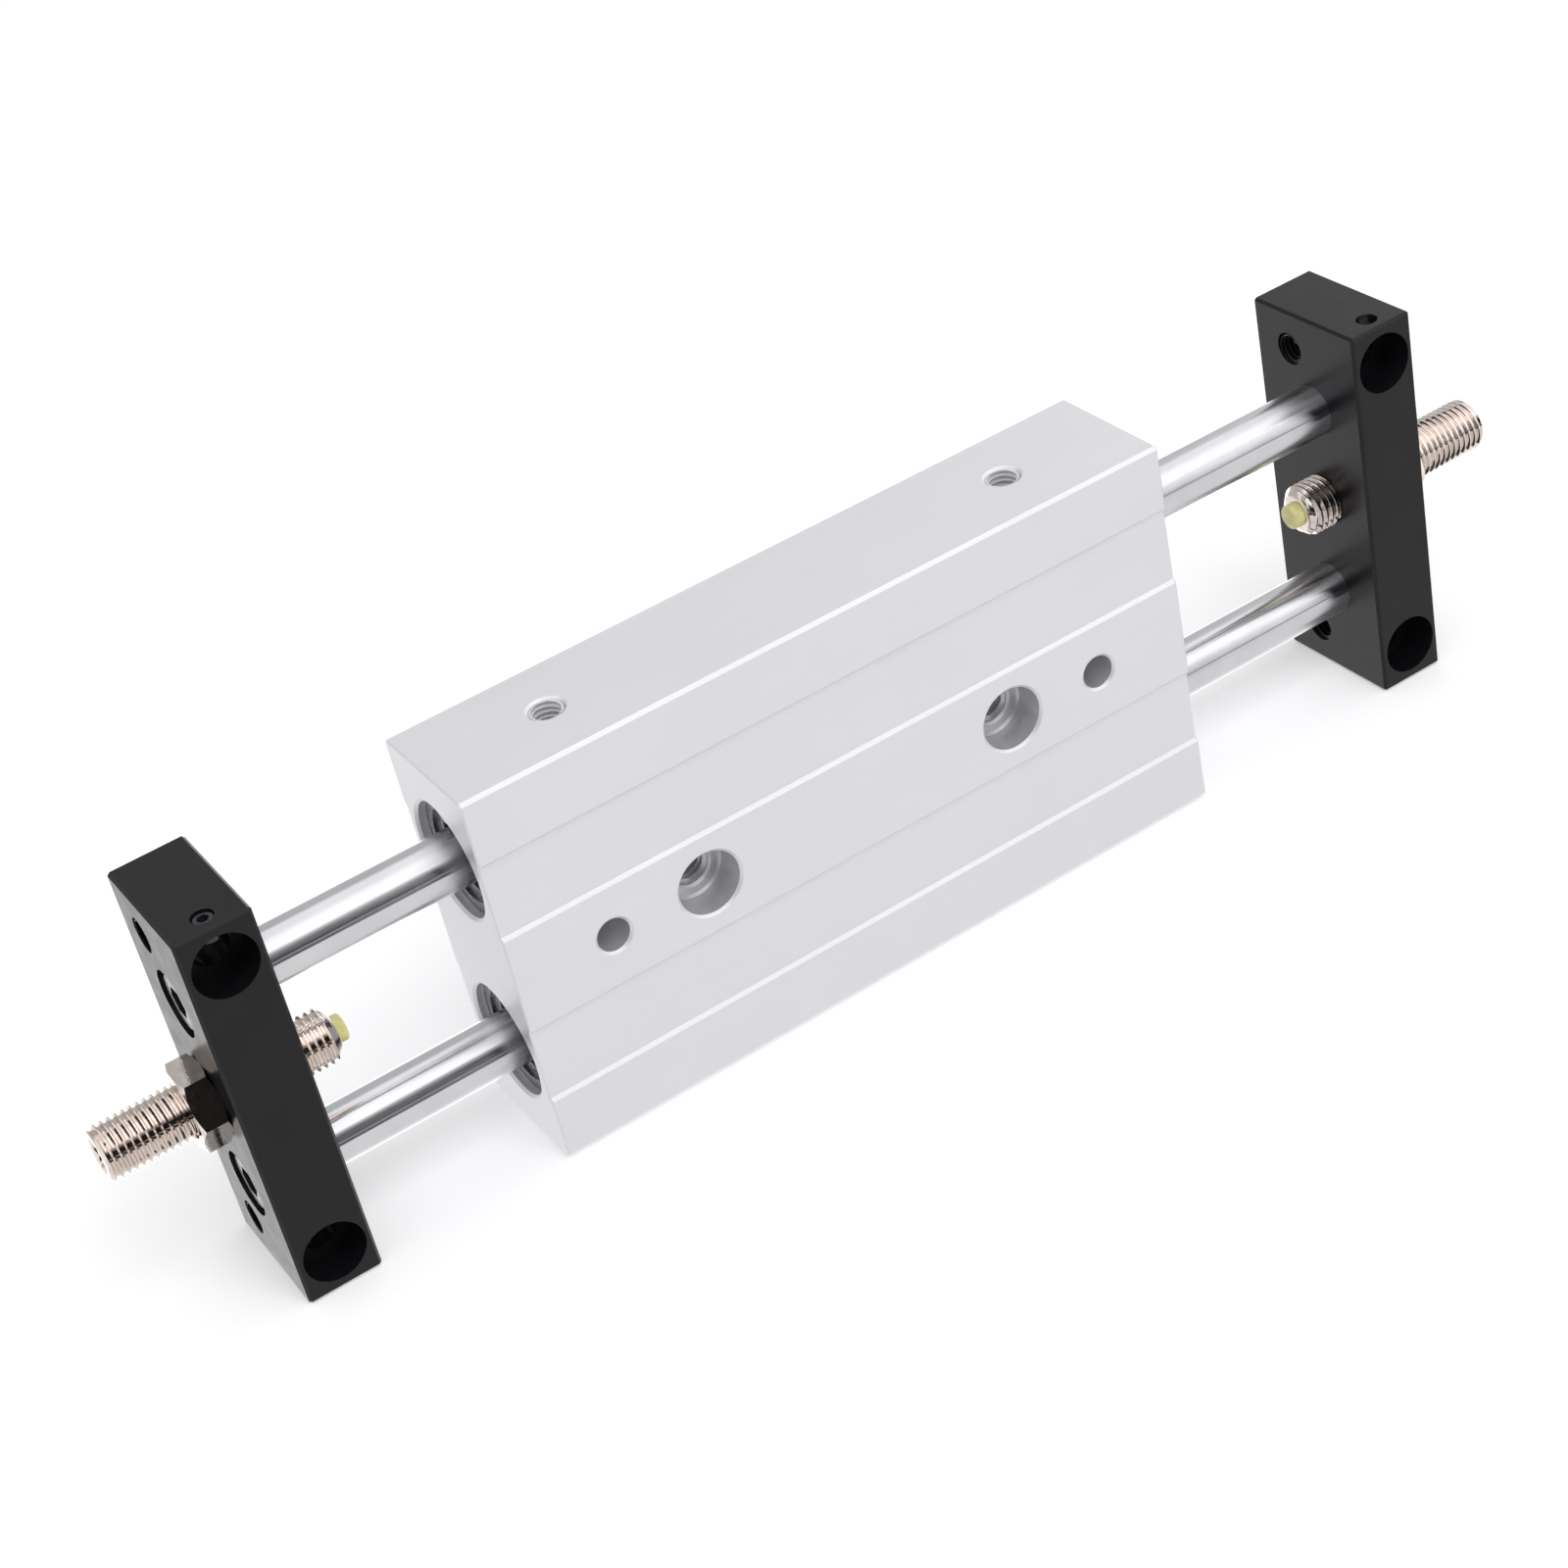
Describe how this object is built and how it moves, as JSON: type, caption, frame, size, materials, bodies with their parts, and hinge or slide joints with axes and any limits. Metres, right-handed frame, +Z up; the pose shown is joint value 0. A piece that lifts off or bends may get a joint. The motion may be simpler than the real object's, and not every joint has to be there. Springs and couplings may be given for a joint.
{
  "type": "pneumatic slide table",
  "caption": "Air-driven slide: a flat housing runs along paired chromed rods between end plates, with screw stops that set its stroke.",
  "frame": {"origin": "under the middle of the whole part, on the surface its end plates stand on", "axes": "+X along the rods from the left plate to the right plate, -Y out of the wide working face, +Z up to the air-port side"},
  "size_m": [0.229, 0.022, 0.06],
  "materials": {
    "silver_anodised_aluminium": "fine matt silver anodising over drawn aluminium",
    "black_anodised_aluminium": "fine matt black anodising",
    "natural_aluminium": "turned, uncoated",
    "hard_chrome": "ground and polished hard chrome",
    "nickel_plated_steel": "bright nickel plate, slightly warm",
    "black_oxide_steel": "black oxide, lightly oiled",
    "spring_steel": "stamped bright spring steel",
    "bronze": "turned bearing bronze",
    "nitrile_rubber": "moulded, dull black",
    "polyurethane": "cast, pale yellow, slightly translucent",
    "filled_ptfe": "turned, waxy",
    "magnet": "sintered, dark"
  },
  "bodies": {
    "frame": {"left_end_plate": "black_anodised_aluminium", "right_end_plate": "black_anodised_aluminium", "left_rod_screws": "black_oxide_steel", "right_rod_screws": "black_oxide_steel", "left_plate_set_screw": "black_oxide_steel", "upper_rod": "hard_chrome", "upper_piston": "natural_aluminium", "upper_wear_ring": "filled_ptfe", "upper_magnet": "magnet", "upper_piston_seals": "nitrile_rubber", "upper_bumpers": "nitrile_rubber", "upper_piston_clips": "spring_steel", "lower_rod": "hard_chrome", "lower_piston": "natural_aluminium", "lower_wear_ring": "filled_ptfe", "lower_magnet": "magnet", "lower_piston_seals": "nitrile_rubber", "lower_bumpers": "nitrile_rubber", "lower_piston_clips": "spring_steel"},
    "housing_body": {"housing": "silver_anodised_aluminium", "upper_left_rod_cover": "natural_aluminium", "upper_left_rod_bush": "bronze", "upper_left_rod_seal": "nitrile_rubber", "upper_left_cover_o_ring": "nitrile_rubber", "upper_left_snap_ring": "spring_steel", "upper_right_rod_cover": "natural_aluminium", "upper_right_rod_bush": "bronze", "upper_right_rod_seal": "nitrile_rubber", "upper_right_cover_o_ring": "nitrile_rubber", "upper_right_snap_ring": "spring_steel", "lower_left_rod_cover": "natural_aluminium", "lower_left_rod_bush": "bronze", "lower_left_rod_seal": "nitrile_rubber", "lower_left_cover_o_ring": "nitrile_rubber", "lower_left_snap_ring": "spring_steel", "lower_right_rod_cover": "natural_aluminium", "lower_right_rod_bush": "bronze", "lower_right_rod_seal": "nitrile_rubber", "lower_right_cover_o_ring": "nitrile_rubber", "lower_right_snap_ring": "spring_steel"},
    "left_stop_screw_body": {"left_stop_screw": "nickel_plated_steel"},
    "left_stop_pad_body": {"left_stop_pad": "polyurethane"},
    "left_lock_nut_body": {"left_lock_nut": "nickel_plated_steel"},
    "right_stop_screw_body": {"right_stop_screw": "nickel_plated_steel"},
    "right_stop_pad_body": {"right_stop_pad": "polyurethane"},
    "right_lock_nut_body": {"right_lock_nut": "nickel_plated_steel"}
  },
  "joints": [
    {"name": "housing_slide", "type": "slide", "parent": "frame", "child": "housing_body", "axis": [1, 0, 0], "range_m": [-0.02025, 0.02855]},
    {"name": "left_stop_travel", "type": "slide", "parent": "frame", "child": "left_stop_pad_body", "axis": [-1, 0, 0], "range_m": [0, 0.003]},
    {"name": "left_stop_turn", "type": "hinge", "parent": "left_stop_pad_body", "child": "left_stop_screw_body", "pos_m": [-0.09845, -0.00025, 0.03], "axis": [-1, 0, 0], "range_deg": [0, 1080]},
    {"name": "left_nut_turn", "type": "hinge", "parent": "frame", "child": "left_lock_nut_body", "pos_m": [-0.10005, -0.00025, 0.03], "axis": [-1, 0, 0], "range_deg": [0, 180]},
    {"name": "right_stop_travel", "type": "slide", "parent": "frame", "child": "right_stop_pad_body", "axis": [1, 0, 0], "range_m": [0, 0.003]},
    {"name": "right_stop_turn", "type": "hinge", "parent": "right_stop_pad_body", "child": "right_stop_screw_body", "pos_m": [0.09685, -0.00025, 0.03], "axis": [1, 0, 0], "range_deg": [0, 1080]},
    {"name": "right_nut_turn", "type": "hinge", "parent": "frame", "child": "right_lock_nut_body", "pos_m": [0.09845, -0.00025, 0.03], "axis": [1, 0, 0], "range_deg": [0, 180]}
  ],
  "couplings": [
    {"joint": "left_stop_turn", "follows": "left_stop_travel", "rad_per_m": 6283.2},
    {"joint": "right_stop_turn", "follows": "right_stop_travel", "rad_per_m": 6283.2}
  ]
}
